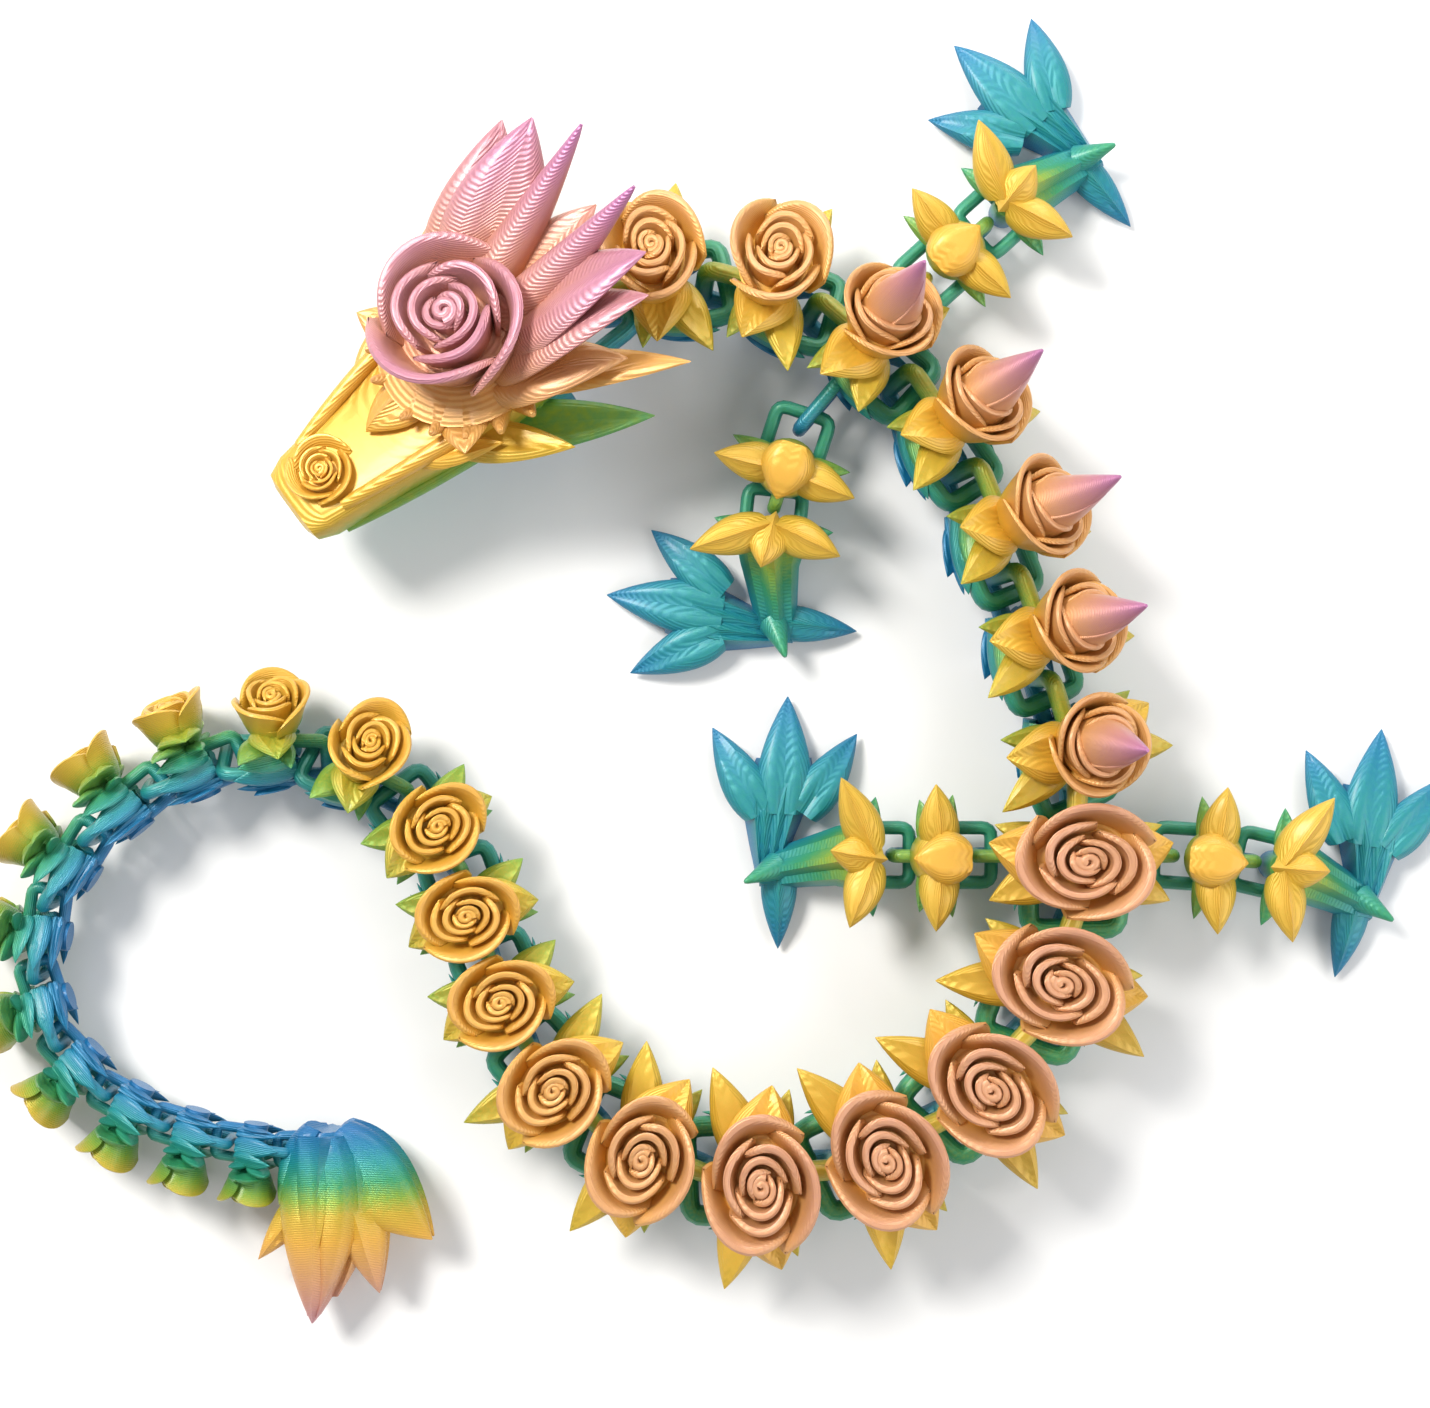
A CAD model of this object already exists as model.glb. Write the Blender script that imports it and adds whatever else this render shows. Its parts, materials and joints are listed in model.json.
import bpy
import json
import math
import numpy as np
from mathutils import Matrix, Vector


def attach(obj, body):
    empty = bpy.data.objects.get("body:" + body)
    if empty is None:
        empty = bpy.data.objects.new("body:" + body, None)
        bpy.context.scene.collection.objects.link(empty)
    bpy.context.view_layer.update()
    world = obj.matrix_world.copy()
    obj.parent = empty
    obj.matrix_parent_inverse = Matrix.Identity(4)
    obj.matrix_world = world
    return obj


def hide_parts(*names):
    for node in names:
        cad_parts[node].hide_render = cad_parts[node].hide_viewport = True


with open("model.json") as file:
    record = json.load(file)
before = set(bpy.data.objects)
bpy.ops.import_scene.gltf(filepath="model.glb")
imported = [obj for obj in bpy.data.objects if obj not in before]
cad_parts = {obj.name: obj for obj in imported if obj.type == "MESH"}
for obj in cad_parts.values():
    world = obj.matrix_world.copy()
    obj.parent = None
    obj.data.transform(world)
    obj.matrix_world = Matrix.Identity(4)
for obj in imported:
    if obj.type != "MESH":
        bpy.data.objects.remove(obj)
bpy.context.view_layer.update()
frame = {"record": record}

MM = 0.001

# An articulated dragon toy, printed in one go in rainbow silk plastic. Shapes are made in
# millimetres in each piece's own frame: x towards the head, y to the left, z to the rose.

# ---- The chain's driving dimensions, as in the CAD ----
SEGMENTS = 28
SHOULDERS = 3
HIPS = 8
LAST = SEGMENTS + 1
FULL_BACK = 12
TAIL_START = 15
NECK_SIZE = 0.98
BACK_SIZE = 1.10
BACK_FALL = 0.08
TAIL_SIZE = 0.86
TAIL_TAPER = 0.966
PITCH = 17.7
LINK_Z = 6.2
ROD_R = 1.5
PRINT_GAP = 0.45
LOOP_Y = 6.4
HOOK_Z = 4.2
HEAD_NECK = 21.0
BODY_REACH = 15.6
TAIL_REACH = 12.7
LEANS = [22, 22, 24, 24, 34, 38, 30, 16] + [0] * 9 + [-14, -34, -58, -80] + [-90] * 9

LEG_SIZE = 0.72
LUG = 15.5
LEG_LOOP = 8.5
LEG_HOOK = 7.0
SHIN_LOOP = 7.0


def size_of(i):
    if i < HIPS:
        return NECK_SIZE
    if i < TAIL_START:
        return BACK_SIZE - BACK_FALL * max(0, i - FULL_BACK)
    return TAIL_SIZE * TAIL_TAPER ** (i - TAIL_START)


def half_length(i):
    return HEAD_NECK if i == 0 else PITCH * size_of(i) / 2


def link_step(i):
    return ROD_R * (size_of(i) + size_of(i + 1)) + PRINT_GAP


def lean_share(i):
    return math.cos(math.radians((LEANS[i] + LEANS[i + 1]) / 2)) ** 2


def pivot_back(i):
    return half_length(i) + link_step(i) * (0.5 - lean_share(i))


def pivot_ahead(i):
    return half_length(i) + link_step(i - 1) * (lean_share(i - 1) - 0.5)


# ---- Where every piece lies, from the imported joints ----
JOINTS = {j["name"]: Vector(j["pos_m"]) for j in frame["record"]["behaviour"]["joints"]}


def body_name(i):
    if i == 0:
        return "head"
    return "tail_bud" if i == LAST else f"segment_{i:02d}"


def hinge_behind(i):
    if i == 0:
        return JOINTS["neck_hinge_head"]
    if i == SEGMENTS:
        return JOINTS["tail_bud_hinge"]
    return JOINTS[f"spine_hinge_{i:02d}_{i + 1:02d}"]


def axes_matrix(origin, forward, up):
    forward = forward.normalized()
    left = up.cross(forward).normalized()
    up = forward.cross(left)
    frame_matrix = Matrix((forward, left, up)).transposed().to_4x4()
    frame_matrix.translation = origin
    return frame_matrix


def chain_matrix(i):
    """Matrix of piece i: hinges fix its origin and x, its lean fixes z."""
    if 0 < i < LAST:
        front, back = hinge_behind(i - 1), hinge_behind(i)
        forward = (front - back).normalized()
        origin = back + forward * pivot_back(i) * MM
    elif i == 0:
        back = hinge_behind(0)
        forward = head_forward()
        origin = back + forward * pivot_back(0) * MM
    else:
        front = hinge_behind(SEGMENTS)
        forward = tail_forward()
        origin = front - forward * pivot_ahead(LAST) * MM
    lean = math.radians(LEANS[i])
    right = forward.cross(Vector((0, 0, 1))).normalized()
    plumb = right.cross(forward)
    return axes_matrix(origin, forward, plumb * math.cos(lean) + right * math.sin(lean))


NECK_TURN = 26
BUD_TURN = 10


def turned(vector, degrees):
    return (Matrix.Rotation(math.radians(degrees), 3, "Z") @ Vector((vector.x, vector.y, 0))).normalized()


def head_forward():
    return turned(hinge_behind(0) - hinge_behind(1), NECK_TURN)


def tail_forward():
    return turned(hinge_behind(SEGMENTS - 1) - hinge_behind(SEGMENTS), BUD_TURN)


# ---- Closed shells: each is (points, faces) ----
def closed_grid(outer, inner):
    """Two equal grids of points, back to back, closed along the rim."""
    rows, cols = outer.shape[:2]
    count = rows * cols
    points = np.concatenate([outer.reshape(-1, 3), inner.reshape(-1, 3)])
    faces = []
    for r in range(rows - 1):
        for c in range(cols - 1):
            a = r * cols + c
            faces.append((a, a + 1, a + cols + 1, a + cols))
            faces.append((count + a, count + a + cols, count + a + cols + 1, count + a + 1))
    rim = [(0, c) for c in range(cols)] + [(r, cols - 1) for r in range(1, rows)]
    rim += [(rows - 1, c) for c in range(cols - 2, -1, -1)] + [(r, 0) for r in range(rows - 2, 0, -1)]
    ids = [r * cols + c for r, c in rim]
    for a, b in zip(ids, ids[1:] + ids[:1]):
        faces.append((b, a, count + a, count + b))
    return points, faces


def loft(rings):
    """Rings of equal length, joined in order and capped at both ends."""
    rings = np.asarray(rings, float)
    count, sides = rings.shape[:2]
    points = np.concatenate([rings.reshape(-1, 3), rings[:1].mean(1), rings[-1:].mean(1)])
    faces = []
    for r in range(count - 1):
        for s in range(sides):
            a, b = r * sides + s, r * sides + (s + 1) % sides
            faces.append((a, b, b + sides, a + sides))
    low, high = count * sides, count * sides + 1
    for s in range(sides):
        faces.append((low, (s + 1) % sides, s))
        last = (count - 1) * sides
        faces.append((high, last + s, last + (s + 1) % sides))
    return points, faces


def spine_rings(path, up, section):
    """Sections along a path. section(t) gives points as (side, up) pairs."""
    path = np.asarray(path, float)
    rings = []
    for k, point in enumerate(path):
        ahead = path[min(k + 1, len(path) - 1)] - path[max(k - 1, 0)]
        ahead = ahead / np.linalg.norm(ahead)
        side = np.cross(ahead, up)
        side = side / np.linalg.norm(side)
        lift = np.cross(side, ahead)
        rings.append([point + side * x + lift * y for x, y in section(k / (len(path) - 1))])
    return rings


def curve(start, middle, end, count):
    """Points on a bend from start to end, drawn towards middle."""
    start, middle, end = (np.array(p, float) for p in (start, middle, end))
    t = np.linspace(0, 1, count)[:, None]
    return (1 - t) ** 2 * start + 2 * t * (1 - t) * middle + t ** 2 * end


def tube(path, radius, sides=14):
    """Round bar along a path; radius is one number or a function of 0..1."""
    size = radius if callable(radius) else (lambda t: radius)
    angles = np.linspace(0, 2 * math.pi, sides, endpoint=False)
    up = np.array([0.03, 0.05, 1.0]) if abs(path[-1][2] - path[0][2]) < 4 else np.array([1, 0.04, 0.02])

    def section(t):
        return [(size(t) * math.cos(a), size(t) * math.sin(a)) for a in angles]
    return loft(spine_rings(path, up, section))


def leaf(base, tip, half_width, thickness, up=(0, 0, 1), bow=1.0, crease=0.35, vein=0.1):
    """A pointed leaf: bowed upwards, creased along its middle and veined on top."""
    base, tip, up = (np.array(p, float) for p in (base, tip, up))
    middle = (base + tip) / 2 + up / np.linalg.norm(up) * bow
    path = curve(base, middle, tip, 20)
    sides = 20

    def section(t):
        width = half_width * max(0.02, math.sin(math.pi * min(1.0, 0.16 + 0.84 * t) ** 0.75) ** 0.85)
        thick = thickness * max(0.03, (1 - t) ** 0.6)
        points = []
        for k in range(sides):
            a = 2 * math.pi * k / sides
            x, y = math.cos(a), math.sin(a)
            top = y > 0
            height = thick * y * (0.8 if top else 0.45)
            if top:
                height -= crease * thick * math.exp(-(x / 0.22) ** 2) * y
                height += vein * math.cos(10.5 * x) * y * min(1.0, 3 * (1 - t))
            points.append((width * x, height))
        return points
    return loft(spine_rings(path, up, section))


def cone(base, tip, base_r, tip_r, bow=(0, 0, 0), ridge=0.0, swell=0.0):
    """A horn or claw: round, tapering, optionally bowed and ridged."""
    base, tip = np.array(base, float), np.array(tip, float)
    path = curve(base, (base + tip) / 2 + np.array(bow, float), tip, 18)
    sides = 18
    run = (tip - base) / np.linalg.norm(tip - base)
    up = np.array([0, 0, 1.0]) if abs(run[2]) < 0.8 else np.array([1.0, 0, 0])

    def section(t):
        radius = base_r + (tip_r - base_r) * t ** 0.9 + swell * math.sin(math.pi * t)
        radius = max(radius * (1 if t < 0.97 else 0.7), 0.12)
        return [(radius * math.cos(a) * (1 + ridge * math.cos(3 * a)),
                 radius * math.sin(a) * (1 + ridge * math.cos(3 * a)))
                for a in np.linspace(0, 2 * math.pi, sides, endpoint=False)]
    return loft(spine_rings(path, up, section))


def revolve(profile, sides=28, centre=(0, 0)):
    """Rings of (radius, z) about an upright line."""
    angles = np.linspace(0, 2 * math.pi, sides, endpoint=False)
    rings = [[(centre[0] + r * math.cos(a), centre[1] + r * math.sin(a), z) for a in angles]
             for r, z in profile]
    return loft(rings)


def moved(shell, offset=(0, 0, 0), scale=(1, 1, 1)):
    points, faces = shell
    return points * np.array(scale, float) + np.array(offset, float), faces


# ---- Roses ----
def petal(angle, span, foot_r, rim_r, foot_z, rim_z, thick, curl, tuck, dip):
    """One curved petal standing round the z axis; tuck pulls its far edge inwards."""
    rows, cols = 10, 19
    outer = np.zeros((rows, cols, 3))
    inner = np.zeros((rows, cols, 3))
    for r in range(rows):
        v = min(1.0, r / (rows - 2))
        cap = 0.27 * thick if r == rows - 1 else 0.0
        for c in range(cols):
            u = 2 * c / (cols - 1) - 1
            a = math.radians(angle + u * span / 2 * (0.82 + 0.18 * math.sin(math.pi * v * 0.8)))
            radius = foot_r + (rim_r - foot_r) * v ** 0.68 + curl * max(0, v - 0.7) ** 1.5 * 6
            radius *= (1 - tuck * (u + 1) / 2) * (1 + 0.035 * v * math.cos(math.pi * u))
            z = foot_z + (rim_z - foot_z) * v * (1 - dip * abs(u) ** 2.4) + cap
            edge = thick * (1 - 0.12 * v) * (1 - 0.5 * abs(u) ** 6)
            out = radius - cap
            outer[r, c] = (out * math.cos(a), out * math.sin(a), z)
            back = max(radius - edge + cap, 0.05)
            inner[r, c] = (back * math.cos(a), back * math.sin(a), z + 0.1 * edge * (cap == 0))
    return closed_grid(outer, inner)


# Rings of petals from the outside in: reach, petals, span, rise of the rim.
ROSE_RINGS = [(1.00, 3, 152, 1.00), (0.69, 3, 140, 0.99), (0.46, 2, 205, 0.97), (0.27, 2, 200, 0.95)]


def rose(reach, foot_z, rim_z, turn=0.0, wide=1.2, thick=1.2):
    """An open rose: overlapping rings of petals round a coiled heart."""
    depth = rim_z - foot_z
    shells = [revolve([(0.45 * reach, foot_z - 0.1), (0.66 * reach, foot_z + 0.30 * depth),
                       (0.72 * reach, foot_z + 0.46 * depth), (0.30 * reach, foot_z + 0.60 * depth)])]
    for k, (share, count, span, rise) in enumerate(ROSE_RINGS):
        for n in range(count):
            angle = turn + 360 * n / count + 47 * k + 9 * math.sin(5 * n + k)
            shells.append(petal(angle, span, share * reach * 0.52, share * reach,
                                foot_z + 0.1 * k * depth, foot_z + depth * rise * (1 - 0.03 * n),
                                thick * (1 - 0.08 * k), 0.35 if k == 0 else 0.0, 0.20,
                                0.30 if k == 0 else 0.15))
    heart = []
    for t in np.linspace(0, 1, 16):
        coil = 0.11 * reach * (1.3 - 0.9 * t)
        heart.append((coil * math.cos(8 * t + 1), coil * math.sin(8 * t + 1), foot_z + depth * 0.9))
    shells.append(tube(heart, 0.062 * reach, 10))
    shells.append(revolve([(0.2 * reach, foot_z + 0.4 * depth), (0.19 * reach, foot_z + 0.82 * depth),
                           (0.05 * reach, foot_z + 0.86 * depth)], 16))
    return [moved(shell, scale=(0.97, wide, 1)) for shell in shells]


BUDDED_RINGS = [(1.0, 3, 165, 1.0), (0.80, 3, 150, 1.06), (0.63, 2, 200, 1.16)]


def budded_rose(foot_z, rim_z, tip_z, reach=8.3):
    """A half-open rose round a tall cone of closed petals."""
    depth = rim_z - foot_z
    shells = [revolve([(0.40 * reach, foot_z - 0.1), (0.62 * reach, foot_z + 0.35 * depth),
                       (0.66 * reach, foot_z + 0.6 * depth), (0.3 * reach, foot_z + 0.8 * depth)])]
    for k, (share, count, span, rise) in enumerate(BUDDED_RINGS):
        for n in range(count):
            angle = 20 + 360 * n / count + 55 * k
            top = foot_z + depth * rise * (1 - 0.04 * n)
            shells.append(petal(angle, span, share * reach * 0.5, share * reach,
                                foot_z + 0.06 * k * depth, top, 1.05,
                                0.35 if k == 0 else 0.0, 0.14, 0.26))
    profile = []
    for t in np.linspace(0, 1, 22):
        radius = 4.7 * (1 - t) ** 0.86 * (1 + 0.18 * math.sin(math.pi * t)) + 0.25
        profile.append((radius, foot_z + 0.45 * depth + (tip_z - foot_z - 0.45 * depth) * t))
    shells.append(revolve(profile, 28))
    wrap = []
    for t in np.linspace(0, 0.8, 30):
        radius = 4.7 * (1 - t) ** 0.86 * (1 + 0.18 * math.sin(math.pi * t)) + 0.2
        a = 1.2 + 2.4 * t
        z = foot_z + 0.45 * depth + (tip_z - foot_z - 0.45 * depth) * t
        wrap.append((radius * math.cos(a), radius * math.sin(a), z))
    shells.append(tube(wrap, lambda t: 0.42 * (1 - 0.7 * t), 8))
    return shells


# ---- Links ----
def rounded(points, radius, steps=5):
    """A path through points with its corners rounded off."""
    points = [np.array(p, float) for p in points]
    path = [points[0]]
    for before, corner, after in zip(points, points[1:], points[2:]):
        into = (before - corner) / np.linalg.norm(before - corner) * radius
        out = (after - corner) / np.linalg.norm(after - corner) * radius
        path += list(curve(corner + into, corner, corner + out, steps))
    return np.array(path + [points[-1]])


def flat_loop(near, far, half_width, radius):
    corners = [(near, -0.5, 0), (near, -half_width, 0), (far, -half_width, 0),
               (far, half_width, 0), (near, half_width, 0), (near, 0.5, 0)]
    return tube(rounded(corners, 1.5 * radius), radius)


def upright_hook(near, far, half_height, radius):
    corners = [(near, 0, half_height), (far, 0, half_height),
               (far, 0, -half_height), (near, 0, -half_height)]
    path = rounded(corners, 1.3 * radius)
    angles = np.linspace(0, 2 * math.pi, 14, endpoint=False)
    section = [(radius * math.cos(a), radius * math.sin(a)) for a in angles]
    return loft(spine_rings(path, np.array([0.0, 1.0, 0.0]), lambda t: section))


def link_shells(i):
    size = size_of(i)
    shells = []
    if i < LAST:
        near = -11.0 if i == 0 else -1.5 * size
        shells.append(flat_loop(near, -half_length(i) - link_step(i) / 2, LOOP_Y * size, ROD_R * size))
    if i > 0:
        shells.append(upright_hook(0, half_length(i) + link_step(i - 1) / 2, HOOK_Z * size, ROD_R * size))
    return shells


# ---- Body segments in unit lengths ----
def both_sides(shells):
    flipped = []
    for points, faces in shells:
        flipped.append((points * np.array([1, -1, 1]), [tuple(reversed(face)) for face in faces]))
    return shells + flipped


def segment_leaves(reach):
    side = [
        leaf((-0.6, 2.0, 6.9), (2.2, 12.9, 8.0), 5.0, 3.2, bow=2.0, crease=0.5, vein=0.2),
        leaf((-1.6, 2.4, 5.2), (-6.0, reach, 6.3), 3.4, 2.6, bow=1.2, crease=0.3, vein=0.12),
        leaf((1.6, 2.6, 4.9), (4.6, 11.8, 5.0), 2.3, 1.9, bow=0.6, crease=0.25, vein=0.08),
        leaf((3.6, 4.2, 3.4), (-6.6, 9.8, 3.6), 2.7, 1.9, up=(0, 1, 0.5), bow=1.0, crease=0.3, vein=0.08),
        leaf((4.2, 3.6, 0.2), (-8.0, 8.4, -0.4), 3.0, 1.8, up=(0, 1, 0), bow=1.2, crease=0.35, vein=0.08),
        leaf((4.4, 2.4, -3.3), (-7.8, 5.8, -4.1), 1.9, 1.8, up=(0, 1, -0.3),
             bow=0.9, crease=0.4, vein=0.06),
        leaf((2.6, 0.9, -4.8), (-4.2, 6.9, -5.0), 2.6, 1.3, bow=0.2, crease=0.3, vein=0.05),
    ]
    return both_sides(side)


def unit_segment(reach, budded):
    core = revolve([(3.5, -6.2), (3.6, -5.4), (3.3, -3.0), (3.3, 3.0), (3.7, 6.5), (3.0, 7.4)])
    shells = [core] + segment_leaves(reach)
    shells += budded_rose(6.4, 16.2, 30.6) if budded else rose(8.6, 6.2, 16.4)
    return shells


# ---- Head ----
def superellipse_ring(x, half_width, low, high, power, sides=36):
    ring = []
    for k in range(sides):
        a = 2 * math.pi * k / sides
        c, s = math.cos(a), math.sin(a)
        y = half_width * math.copysign(abs(c) ** (2 / power), c)
        z = (low + high) / 2 + (high - low) / 2 * math.copysign(abs(s) ** (2 / power), s)
        ring.append((x, y, z))
    return ring


def muzzle():
    upper = [(-6, 11.5, 3.5, 14.5, 2.6), (4, 12.0, 4.5, 15.0, 3.2), (12, 11.0, 5.0, 13.6, 3.8),
             (20, 9.4, 5.4, 12.6, 4.2), (28, 8.3, 5.6, 12.4, 4.4), (33.5, 7.6, 5.8, 12.2, 4.4),
             (36.4, 6.6, 6.6, 11.4, 3.6), (37.0, 4.6, 7.4, 10.4, 3.0)]
    jaw = [(-8, 9.5, -5.2, 4.2, 2.6), (2, 10.0, 0.4, 5.2, 3.0), (14, 8.4, 2.0, 5.0, 3.4),
           (26, 6.6, 2.6, 5.1, 3.6), (33.0, 5.4, 3.2, 5.3, 3.4), (35.5, 3.6, 3.8, 5.2, 3.0)]
    shells = [loft([superellipse_ring(*ring) for ring in rows]) for rows in (upper, jaw)]
    side = [cone((30, 6.4, 11.6), (8, 10.4, 13.4), 1.0, 1.5, bow=(0, 0.8, 0.5)),
            cone((32, 6.9, 6.4), (6, 11.2, 6.2), 0.8, 1.2, bow=(0, 0.9, 0)),
            leaf((10, 9.0, 9.5), (-3, 22.5, 10.5), 3.6, 2.2, bow=1.0, crease=0.4, vein=0.14),
            leaf((16, 8.6, 11.5), (5, 15.5, 12.5), 2.6, 1.8, bow=0.8, crease=0.4, vein=0.1),
            leaf((6, 8.0, 5.0), (-15.5, 24.0, 5.6), 4.4, 1.9, bow=0.6, crease=0.45, vein=0.12)]
    return shells + both_sides(side)


def throat():
    shells = [revolve([(7.0, -6.0), (7.6, -4.5), (7.0, 0.0), (9.0, 8.0), (12.0, 15.0), (9.0, 17.0)], 36),
              cone((-13.2, 0, 0.2), (2, 0, 4.0), 2.7, 6.5)]
    for k in range(10):
        a = math.radians(36 * k + 18)
        c, s = math.cos(a), math.sin(a)
        way = (c, s, -0.6)
        shells.append(leaf((5.6 * c, 5.6 * s, -5.2), (10.6 * c, 10.6 * s, 1.6), 3.4, 2.0, up=way, bow=1.4))
        c, s = math.cos(a + 0.31), math.sin(a + 0.31)
        shells.append(leaf((6.4 * c, 6.4 * s, 0.0), (11.8 * c, 11.8 * s, 8.0), 3.4, 2.2,
                           up=(c, s, -0.6), bow=1.4))
    return shells


def crest():
    side = [
        cone((-7, 3.4, 19), (-32.6, 6.9, 32.6), 4.4, 0.35, bow=(0, 0, -1.2), ridge=0.03, swell=0.5),
        leaf((-6, 5.5, 17.5), (-28.0, 15.0, 29.8), 8.0, 4.4,
             bow=2.4, crease=0.35, vein=0.14, up=(0, -0.45, 1)),
        leaf((-3, 7.0, 16.0), (-24.5, 19.5, 27.5), 7.2, 4.0,
             bow=2.4, crease=0.3, vein=0.14, up=(0, -0.5, 1)),
        leaf((0, 8.5, 14.5), (-17.0, 20.5, 18.5), 6.2, 3.6,
             bow=2.0, crease=0.3, vein=0.12, up=(0, -0.4, 1)),
        leaf((-3, 9.0, 12.5), (-24.0, 26.4, 16.6), 4.0, 2.0,
             bow=1.5, crease=0.4, vein=0.12, up=(0, -0.3, 1)),
        leaf((6, 7.0, 13.0), (10.5, 15.5, 17.0), 4.2, 2.2, bow=0.8, crease=0.3, vein=0.1),
    ]
    for k in range(6):
        a = math.radians(14 + 19 * k)
        start = (11.0 * math.cos(a) - 1, 11.6 * math.sin(a), 14.0)
        end = (16.5 * math.cos(a) - 1, 17.2 * math.sin(a), 17.4 - 0.2 * k)
        side.append(cone(start, end, 2.5, 0.5, bow=(0, 0, -0.6)))
    middle = [leaf((-6, 0, 17), (-27.5, 0, 24.0), 6.4, 3.2, bow=1.4, crease=0.5, vein=0.2),
              revolve([(9.0, 12.0), (13.6, 15.2), (14.2, 16.6), (9.0, 18.2)], 40),
              leaf((10, 0, 13.5), (20.5, 0, 13.6), 4.4, 2.4, bow=1.0, crease=-0.3, vein=0.1)]
    return both_sides(side) + middle


def head_shells():
    shells = throat() + muzzle() + crest()
    shells += rose(13.2, 15.0, 28.2, turn=30, wide=1.04, thick=1.7)
    shells += [moved(shell, offset=(29.5, 0, 0)) for shell in
               rose(5.6, 10.6, 13.9, turn=10, wide=1.05, thick=0.62)]
    return shells


# ---- Tail bud ----
BUD_ROOT = np.array((-2.0, 0, -3.0))
BUD_WAIST = np.array((-3.6, 0, 10.0))
BUD_TIP = np.array((1.2, 0, 27.3))


def bud_axis(t):
    return (1 - t) ** 2 * BUD_ROOT + 2 * t * (1 - t) * (BUD_WAIST + (-1.6, 0, 0)) + t * t * BUD_TIP


def bud_radius(t):
    return 0.25 + 6.3 * math.sin(math.pi * (0.17 + 0.83 * t) ** 0.92) ** 0.8 * (1 - 0.15 * t)


def bud_petal(angle, span, proud, thick, reach=1.0):
    """A long petal lying on the bud, ridged along its middle and drawn to a point."""
    rows, cols = 22, 13
    outer = np.zeros((rows, cols, 3))
    inner = np.zeros((rows, cols, 3))
    for r in range(rows):
        t = 0.02 + (reach - 0.02) * r / (rows - 1)
        share = r / (rows - 1)
        half = math.radians(span / 2) * max(0.04, math.sin(math.pi * (0.16 + 0.84 * share) ** 0.8)) ** 0.7
        for c in range(cols):
            u = 2 * c / (cols - 1) - 1
            a = math.radians(angle) + u * half
            ridge = 0.45 * math.exp(-(u / 0.25) ** 2) * (1 - share)
            out = bud_radius(t) + proud * (1 - 0.3 * share) + ridge
            out -= 0.35 * abs(u) ** 3
            way = np.array((math.cos(a), math.sin(a), 0))
            outer[r, c] = bud_axis(t) + way * out
            inner[r, c] = bud_axis(t) + way * max(out - thick, 0.02)
    return closed_grid(outer, inner)


# Leaves lying on both flat sides of the bud: root, tip, half width, thickness, bow, crease.
BUD_LEAVES = [((-2.0, 1.6, -2.0), (1.2, 0.3, 27.3), 6.2, 5.0, 3.0, -0.25),
              ((-5.0, 1.2, 2.0), (-9.6, 0.8, 22.8), 4.6, 3.8, 2.6, -0.2),
              ((0.0, 0.8, 6.0), (9.3, 0.3, 17.0), 2.6, 2.4, 1.2, -0.2),
              ((-3.0, 1.0, -1.0), (-18.2, 1.4, 14.6), 6.4, 3.8, 3.4, 0.2),
              ((-1.0, 1.2, -2.6), (5.4, 2.2, 8.2), 3.6, 2.8, 1.8, -0.2)]


def bud_shells():
    rings = []
    for t in np.linspace(0, 1, 26):
        rings.append([bud_axis(t) + 0.88 * bud_radius(t) * np.array((math.cos(a), math.sin(a), 0))
                      for a in np.linspace(0, 2 * math.pi, 30, endpoint=False)])
    shells = [loft(rings)]
    for k in range(6):
        shells.append(bud_petal(60 * k + 12, 78, 0.55 + 0.4 * (k % 2), 2.2, 0.97 - 0.09 * (k % 2)))
    for y in (1, -1):
        for root, tip, half_width, thickness, bow, crease in BUD_LEAVES:
            start = (root[0], root[1] * y, root[2])
            end = (tip[0], tip[1] * y, tip[2])
            shells.append(leaf(start, end, half_width, thickness, up=(0, y, 0), bow=bow, crease=crease))
    return shells


# ---- Legs: x outwards, y is side times backwards, z up from the link plane ----
def collar_shells(side):
    rod_r = ROD_R * LEG_SIZE
    shells = [revolve([(2.3, -5.9), (2.4, -3.0), (2.4, 2.0), (3.9, 2.4),
                       (4.7, 4.6), (4.0, 7.0), (2.6, 8.4)]),
              leaf((-3.4, 0, 7.4), (4.4, 0, 9.6), 4.2, 3.9, bow=1.0, crease=0.16)]
    for forward in (1, -1):
        y = side * forward
        shells += [leaf((0.0, y * 1.5, 5.2), (0.8, y * 11.4, 7.7), 3.2, 3.2, bow=1.2, crease=-0.3),
                   leaf((-0.6, y * 1.5, 3.7), (-2.2, y * 9.6, 2.9), 1.8, 1.5, bow=0.4),
                   leaf((1.0, y * 1.2, 3.7), (3.0, y * 8.8, 2.6), 1.9, 1.5, bow=0.4)]
    shells.append(flat_loop(-0.5, -LEG_LOOP, LOOP_Y * LEG_SIZE - 0.3, rod_r))
    shells.append(upright_hook(0, LEG_HOOK, HOOK_Z * LEG_SIZE, rod_r))
    return shells


# Toe tips on a left foot, with half widths; a right foot is mirrored.
TOES = [((24.0, -20.0), 3.6), ((12.0, -25.0), 4.3), ((1.0, -19.0), 3.5)]
# Across the foot's plate: share of the half width, and drop below its top.
PLATE = [(-0.62, 0.2), (-0.4, 0.8), (-0.18, 0.1), (0.05, 0.7), (0.3, 0.0), (0.48, 0.7), (0.64, 0.2)]


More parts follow.
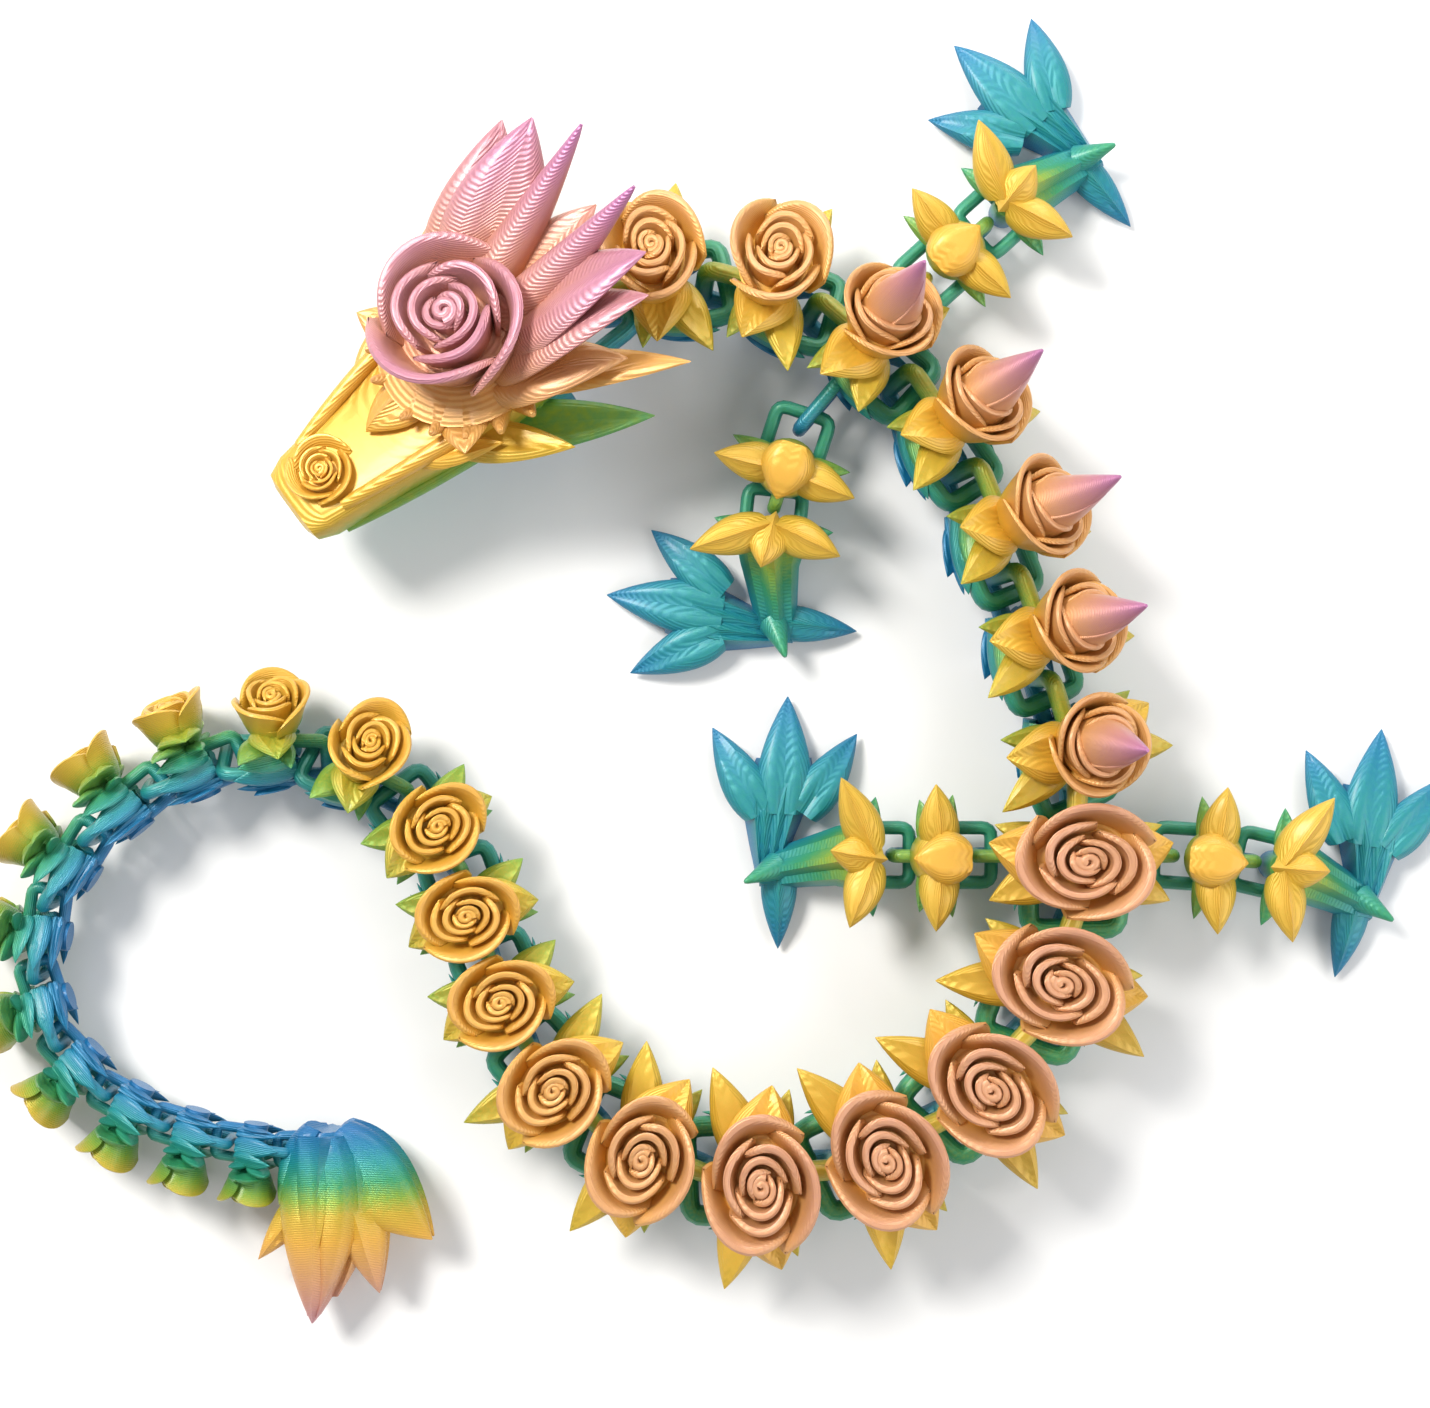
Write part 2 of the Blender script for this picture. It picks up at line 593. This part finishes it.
def foot_shells(side):
    palm = [(15.2, 4.2, -3.0, 1.8), (14.8, -1.5, -1.7, 3.4), (14.2, -6.5, -1.3, 4.9),
            (13.2, -11.0, -1.7, 5.6), (12.6, -15.2, -2.6, 4.4)]
    rings = []
    for x, y, top, half in palm:
        section = [(-half, -5.9), (-0.86 * half, -3.9)]
        section += [(share * half, top - drop) for share, drop in PLATE]
        section += [(0.86 * half, -3.9), (half, -5.9)]
        rings.append([(x + dx * side, side * y, z) for dx, z in section])
    shells = [loft(rings)]
    for (x, y), half in TOES:
        root = (12.9 + 0.3 * (x - 12), side * -6.5, -3.3)
        shells.append(leaf(root, (x, side * y, -5.0), half, 2.6, bow=1.8, crease=0.35, vein=0.1))
    shells += [leaf((13.4, side * 1.0, -3.4), (13.6, side * 15.2, -5.0), 2.9, 2.2, bow=1.4, crease=-0.3),
               cone((14.0, side * 2.0, -2.0), (19.0, side * 4.2, 1.2), 2.4, 0.35, bow=(0, 0, 0.6))]
    return shells


# Tips of the shin's star leaves: outwards, backwards, up.
STAR = [(4.1, -12.4, 7.9), (5.8, -1.2, 8.7), (2.8, 10.8, 7.9)]


# Along the limb: outwards, backwards, lowest, highest, half width.
LIMB = [(-1.0, 0, 2.2, 6.6, 5.0), (1.2, 0, 0.6, 7.2, 5.6), (4.6, 0.2, -3.8, 5.4, 4.7),
        (9.0, 1.2, -5.2, 2.6, 4.0), (14.0, 2.4, -5.9, -0.2, 3.3), (16.6, 3.2, -5.0, -1.4, 2.0)]
# Across the limb: shares of its half width and its height.
LIMB_SECTION = [(-0.7, 0), (-1, 0.35), (-0.72, 0.76), (-0.4, 0.78), (-0.12, 1.0),
                (0.12, 1.0), (0.4, 0.78), (0.72, 0.76), (1, 0.35), (0.7, 0)]


def shin_shells(side):
    rod_r = ROD_R * LEG_SIZE
    shells = [revolve([(2.3, -5.9), (2.4, 2.0), (2.2, 3.0)]),
              flat_loop(-0.5, -SHIN_LOOP, LOOP_Y * LEG_SIZE - 0.3, rod_r)]
    limb = []
    for x, y, low, high, half in LIMB:
        limb.append([(x, side * y + dy * half, low + (high - low) * dz) for dy, dz in LIMB_SECTION])
    shells.append(loft(limb))
    for x, y, z in STAR:
        root = (-0.6, side * y * 0.14, 5.2)
        shells.append(leaf(root, (x, side * y, z), 3.2, 3.4, bow=1.3, crease=-0.3))
    shells += [leaf((0.0, side * 2.0, 2.4), (-1.2, side * 9.6, 1.6), 1.9, 1.5, bow=0.4),
               leaf((0.0, -side * 2.0, 2.4), (-1.6, -side * 9.2, 1.6), 1.9, 1.5, bow=0.4)]
    return shells + foot_shells(side)


# ---- Pieces ----
def mesh_of(shell, name):
    mesh = bpy.data.meshes.new(name)
    mesh.from_pydata([tuple(p) for p in shell[0]], [], shell[1])
    mesh.update()
    return mesh


def outward(mesh):
    """Face every shell outwards: its volume must come out positive."""
    mesh.calc_loop_triangles()
    points = np.array([v.co for v in mesh.vertices])
    tris = np.array([t.vertices for t in mesh.loop_triangles])
    a, b, c = (points[tris[:, k]] for k in range(3))
    if np.einsum("ij,ij->i", a, np.cross(b, c)).sum() < 0:
        mesh.flip_normals()
    return mesh


def fused(name, meshes):
    """One closed mesh from many overlapping closed shells."""
    group = bpy.data.collections.new(name + "_shells")
    bpy.context.scene.collection.children.link(group)
    base = bpy.data.objects.new(name + "_base", meshes[0])
    bpy.context.scene.collection.objects.link(base)
    others = []
    for k, mesh in enumerate(meshes[1:]):
        other = bpy.data.objects.new(f"{name}_shell_{k}", mesh)
        group.objects.link(other)
        others.append(other)
    union = base.modifiers.new("union", "BOOLEAN")
    union.operation = "UNION"
    union.operand_type = "COLLECTION"
    union.collection = group
    union.solver = "MANIFOLD"
    graph = bpy.context.evaluated_depsgraph_get()
    result = bpy.data.meshes.new_from_object(base.evaluated_get(graph))
    for scrap in others + [base]:
        bpy.data.objects.remove(scrap)
    bpy.data.collections.remove(group)
    return result


def scaled_copy(mesh, factor):
    copy = mesh.copy()
    copy.transform(Matrix.Scale(factor, 4))
    return copy


SHARP = math.radians(38)


def piece(name, mesh, matrix, node, material, foot, stretch=1.0):
    """Finish a mesh made in its own frame: print heights, place, material and body."""
    heights = mesh.attributes.new("print_height", "FLOAT", "POINT")
    z = np.empty(len(mesh.vertices) * 3)
    mesh.vertices.foreach_get("co", z)
    heights.data.foreach_set("value", (z[2::3] + foot) * stretch)
    mesh.transform(matrix @ Matrix.Scale(MM, 4))
    mesh.materials.clear()
    mesh.materials.append(material)
    for polygon in mesh.polygons:
        polygon.use_smooth = True
    mesh.set_sharp_from_angle(angle=SHARP)
    item = bpy.data.objects.new(name, mesh)
    bpy.context.scene.collection.objects.link(item)
    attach(item, node)
    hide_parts(node)
    return item


# ---- Material: silk plastic whose colour follows the print height ----
# Print height in millimetres and the filament's colour there.
RAINBOW = [(0.0, (0.007, 0.141, 0.352)), (2.5, (0.006, 0.188, 0.328)), (5.0, (0.013, 0.262, 0.262)),
           (8.0, (0.032, 0.283, 0.114)), (10.5, (0.223, 0.376, 0.038)), (13.0, (0.578, 0.402, 0.032)),
           (17.0, (0.753, 0.402, 0.045)), (20.5, (0.723, 0.300, 0.075)), (24.0, (0.690, 0.216, 0.127)),
           (28.5, (0.631, 0.181, 0.156)), (32.5, (0.578, 0.162, 0.216)), (37.0, (0.413, 0.141, 0.352))]
TOP_HEIGHT = 42.0
LAYER = 0.28


def silk(name, roughness):
    material = bpy.data.materials.new(name)
    material.use_nodes = True
    nodes, links = material.node_tree.nodes, material.node_tree.links
    shader = nodes["Principled BSDF"]
    height = nodes.new("ShaderNodeAttribute")
    height.attribute_name = "print_height"
    patch = nodes.new("ShaderNodeTexNoise")
    patch.inputs["Scale"].default_value = 55
    patch.inputs["Detail"].default_value = 3
    drift = nodes.new("ShaderNodeMath")
    drift.operation = "MULTIPLY_ADD"
    drift.inputs[1].default_value = 2.6
    links.new(patch.outputs["Fac"], drift.inputs[0])
    links.new(height.outputs["Fac"], drift.inputs[2])
    share = nodes.new("ShaderNodeMath")
    share.operation = "DIVIDE"
    share.inputs[1].default_value = TOP_HEIGHT
    links.new(drift.outputs[0], share.inputs[0])
    ramp = nodes.new("ShaderNodeValToRGB")
    stops = ramp.color_ramp.elements
    for k, (at, colour) in enumerate(RAINBOW):
        stop = stops[k] if k < 2 else stops.new(0.5)
        stop.position = (at + 1.3) / TOP_HEIGHT
        stop.color = (*colour, 1)
    links.new(share.outputs[0], ramp.inputs["Fac"])
    hue = nodes.new("ShaderNodeHueSaturation")
    grain = nodes.new("ShaderNodeTexNoise")
    grain.inputs["Scale"].default_value = 900
    tone = nodes.new("ShaderNodeMapRange")
    tone.inputs["To Min"].default_value = 0.86
    tone.inputs["To Max"].default_value = 1.12
    links.new(grain.outputs["Fac"], tone.inputs["Value"])
    links.new(tone.outputs["Result"], hue.inputs["Value"])
    links.new(ramp.outputs["Color"], hue.inputs["Color"])
    links.new(hue.outputs["Color"], shader.inputs["Base Color"])
    add_layer_lines(nodes, links, height, grain, shader, roughness)
    shader.inputs["Metallic"].default_value = 0.25
    shader.inputs["Coat Weight"].default_value = 0.25
    shader.inputs["Coat Roughness"].default_value = 0.22
    shader.inputs["Specular IOR Level"].default_value = 0.6
    return material


def add_layer_lines(nodes, links, height, grain, shader, roughness):
    """Layer lines as bump, and a little unevenness in the gloss."""
    phase = nodes.new("ShaderNodeMath")
    phase.operation = "MULTIPLY"
    phase.inputs[1].default_value = 2 * math.pi / LAYER
    links.new(height.outputs["Fac"], phase.inputs[0])
    wave = nodes.new("ShaderNodeMath")
    wave.operation = "SINE"
    links.new(phase.outputs[0], wave.inputs[0])
    rough = nodes.new("ShaderNodeMath")
    rough.operation = "MULTIPLY_ADD"
    rough.inputs[1].default_value = 0.7
    links.new(grain.outputs["Fac"], rough.inputs[0])
    links.new(wave.outputs[0], rough.inputs[2])
    bump = nodes.new("ShaderNodeBump")
    bump.inputs["Strength"].default_value = 0.5
    bump.inputs["Distance"].default_value = 0.00006
    links.new(rough.outputs[0], bump.inputs["Height"])
    links.new(bump.outputs["Normal"], shader.inputs["Normal"])
    gloss = nodes.new("ShaderNodeMapRange")
    gloss.inputs["To Min"].default_value = roughness - 0.06
    gloss.inputs["To Max"].default_value = roughness + 0.08
    links.new(grain.outputs["Fac"], gloss.inputs["Value"])
    links.new(gloss.outputs["Result"], shader.inputs["Roughness"])


# ---- Build ----
def solid_meshes(shells, name):
    return [outward(mesh_of(shell, name)) for shell in shells]


def lug_shells(i):
    """Leg hooks of the shoulders and the hips, in the segment's own frame."""
    own = chain_matrix(i).inverted()
    shells = []
    for side in (1, -1):
        plane = lug_matrix(i, side)
        points, faces = upright_hook(4.0, LUG, HOOK_Z * LEG_SIZE, ROD_R * LEG_SIZE)
        shift = own @ plane
        placed = np.array([shift @ Vector(p * MM) for p in points]) / MM
        shells.append((placed, faces))
    return shells


def lug_matrix(i, side):
    centre = chain_matrix(i).translation
    name = ("left" if side > 0 else "right") + ("_front" if i == SHOULDERS else "_hind")
    hip = JOINTS[name + "_hip"]
    outwards = Vector((hip.x - centre.x, hip.y - centre.y, 0))
    return axes_matrix(Vector((centre.x, centre.y, hip.z)), outwards, Vector((0, 0, 1)))


def build_segments(material):
    units = {}
    for i in range(1, LAST):
        reach = TAIL_REACH if i >= TAIL_START or i in (SHOULDERS, HIPS) else BODY_REACH
        kind = (reach, SHOULDERS <= i < HIPS)
        if kind not in units:
            units[kind] = fused("unit", solid_meshes(unit_segment(*kind), "unit"))
        size = size_of(i)
        shells = link_shells(i)
        if i in (SHOULDERS, HIPS):
            shells += lug_shells(i)
        parts = [scaled_copy(units[kind], size)] + solid_meshes(shells, "link")
        name = body_name(i)
        mesh = fused(name, parts)
        piece("rose_" + name, mesh, chain_matrix(i), name, material, LINK_Z * size)


def leg_matrices(name):
    """Matrices of the upper and lower leg, from the hip and knee hinges."""
    hip, knee = JOINTS[name + "_hip"], JOINTS[name + "_knee"]
    out = (knee - hip).normalized()
    step = (2 * ROD_R * LEG_SIZE + PRINT_GAP) * MM
    upper = axes_matrix(hip + out * (LEG_LOOP * MM - step), out, Vector((0, 0, 1)))
    flat = Vector((out.x, out.y, 0)).normalized()
    shin_out = turned(flat, KNEE_TURNS[name])
    lower = axes_matrix(knee + shin_out * (SHIN_LOOP * MM - step), shin_out, Vector((0, 0, 1)))
    return upper, lower


KNEE_TURNS = {"left_front": 12, "right_front": 0, "left_hind": 0, "right_hind": -9}


def build_legs(material):
    for name in KNEE_TURNS:
        side = 1 if name.startswith("left") else -1
        upper, lower = leg_matrices(name)
        for part, shells, matrix in (("_upper_leg", collar_shells(side), upper),
                                     ("_lower_leg", shin_shells(side), lower)):
            mesh = fused(name + part, solid_meshes(shells, name))
            piece("scaled_" + name + part, mesh, matrix, name + part, material, LINK_Z)


# Depth of the head below its link plane where its colours are counted from.
HEAD_FOOT = 3.4


def build_ends(head_material, bud_material):
    mesh = fused("head", solid_meshes(head_shells() + link_shells(0), "head"))
    piece("rose_head", mesh, chain_matrix(0), "head", head_material, HEAD_FOOT)
    mesh = fused("bud", solid_meshes(bud_shells() + link_shells(LAST), "bud"))
    piece("closed_bud", mesh, chain_matrix(LAST), "tail_bud", bud_material,
          LINK_Z * size_of(LAST))


# ---- Stage ----
def build_floor():
    bpy.ops.mesh.primitive_plane_add(size=4, location=(0, 0, -0.0002))
    floor = bpy.context.object
    floor.name = "floor"
    paper = bpy.data.materials.new("pale_floor")
    paper.use_nodes = True
    paper.node_tree.nodes["Principled BSDF"].inputs["Base Color"].default_value = (0.86, 0.86, 0.86, 1)
    paper.node_tree.nodes["Principled BSDF"].inputs["Roughness"].default_value = 0.8
    floor.data.materials.append(paper)


VIEW_CENTRE = Vector((-0.0564, 0.0238, 0.0))
VIEW_HEIGHT = 0.42
VIEW_WIDTH = 0.2288


def build_camera():
    camera = bpy.data.objects.new("camera", bpy.data.cameras.new("camera"))
    camera.location = VIEW_CENTRE + Vector((0, 0, VIEW_HEIGHT))
    camera.rotation_euler = (0, 0, 0)
    camera.data.sensor_width = 36
    camera.data.lens = 36 * VIEW_HEIGHT / VIEW_WIDTH
    camera.data.clip_start = 0.01
    bpy.context.scene.collection.objects.link(camera)
    bpy.context.scene.camera = camera


def add_light(name, place, size, power, colour=(1, 1, 1)):
    lamp = bpy.data.lights.new(name, "AREA")
    lamp.size = size
    lamp.energy = power
    lamp.color = colour
    light = bpy.data.objects.new(name, lamp)
    light.location = place
    aim = VIEW_CENTRE - Vector(place)
    light.rotation_euler = aim.to_track_quat("-Z", "Y").to_euler()
    bpy.context.scene.collection.objects.link(light)


def build_lights():
    bpy.context.scene.view_settings.view_transform = "Standard"
    world = bpy.data.worlds.new("studio")
    bpy.context.scene.world = world
    world.use_nodes = True
    world.node_tree.nodes["Background"].inputs["Color"].default_value = (0.95, 0.97, 1, 1)
    world.node_tree.nodes["Background"].inputs["Strength"].default_value = 0.45
    add_light("key", (-0.55, 0.45, 0.75), 0.3, 10.5, (1, 0.97, 0.92))
    add_light("fill", (0.6, -0.2, 0.6), 0.6, 3.5)
    add_light("back", (0.1, 0.7, 0.35), 0.4, 3)


body_material = silk("silk_body", 0.36)
build_segments(body_material)
build_legs(silk("silk_legs", 0.42))
build_ends(silk("silk_head", 0.34), silk("silk_bud", 0.34))
build_floor()
build_camera()
build_lights()
